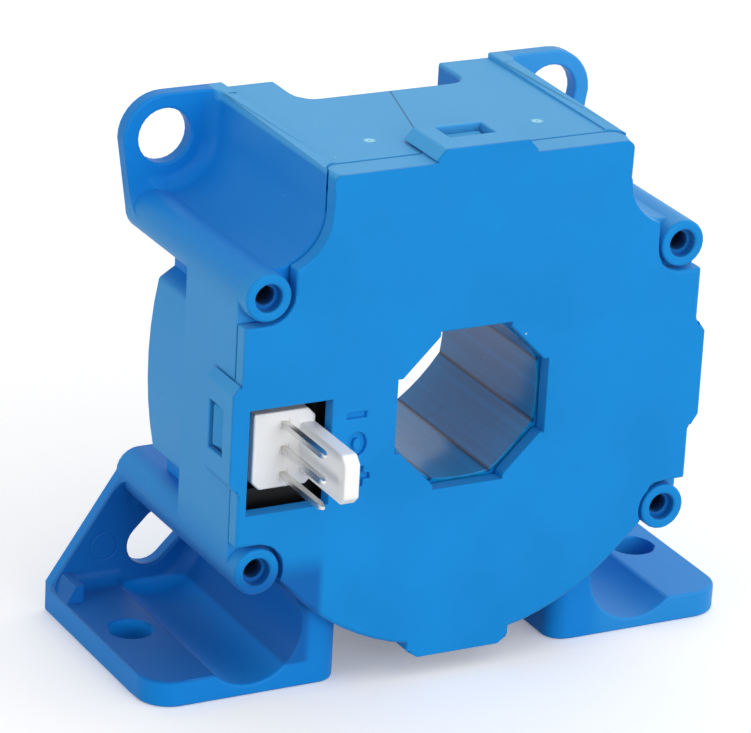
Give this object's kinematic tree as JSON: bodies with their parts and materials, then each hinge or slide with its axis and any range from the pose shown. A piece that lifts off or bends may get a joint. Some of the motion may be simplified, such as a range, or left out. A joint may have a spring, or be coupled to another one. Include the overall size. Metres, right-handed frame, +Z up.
{
  "type": "solid-core current transformer",
  "caption": "Panel-mount current transformer: blue moulded drum with a faceted through-hole, clipped cover, screw ears and feet, and a small pin connector.",
  "frame": {"origin": "on the standing surface, below the middle of the bounding box", "axes": "+Z up, -Y towards the cover and the connector, +Y towards the panel behind, +X to the right seen from the front; the through-hole runs along Y"},
  "size_m": [0.0622, 0.0336, 0.0529],
  "materials": {
    "blue_moulding": "fine grained, moulded",
    "white_nylon": "satin",
    "tinned_pin": "tin plated",
    "board_green": "solder mask",
    "black_resin": "cast resin",
    "core_steel": "strip wound",
    "case_plastic": "moulded",
    "enamelled_copper": "enamelled wire",
    "black_epoxy": "moulded",
    "capacitor_can": "drawn can",
    "ceramic_tan": "fired ceramic"
  },
  "bodies": {
    "root": {"rear_housing": "blue_moulding", "front_cover": "blue_moulding", "connector_header": "white_nylon", "connector_pin_1": "tinned_pin", "connector_pin_2": "tinned_pin", "connector_pin_3": "tinned_pin", "circuit_board": "board_green", "potting_compound": "black_resin", "magnetic_core": "core_steel", "core_case_front": "case_plastic", "core_case_rear": "case_plastic", "secondary_winding": "enamelled_copper", "winding_lead_1": "enamelled_copper", "winding_lead_2": "enamelled_copper", "hall_sensor": "black_epoxy", "amplifier_ic": "black_epoxy", "output_transistor_1": "black_epoxy", "output_transistor_2": "black_epoxy", "protection_diode_1": "black_epoxy", "protection_diode_2": "black_epoxy", "chip_resistor_1": "black_epoxy", "chip_resistor_2": "black_epoxy", "chip_resistor_3": "black_epoxy", "chip_resistor_4": "black_epoxy", "filter_capacitor_1": "capacitor_can", "filter_capacitor_2": "capacitor_can", "chip_capacitor_1": "ceramic_tan", "chip_capacitor_2": "ceramic_tan"}
  },
  "joints": []
}
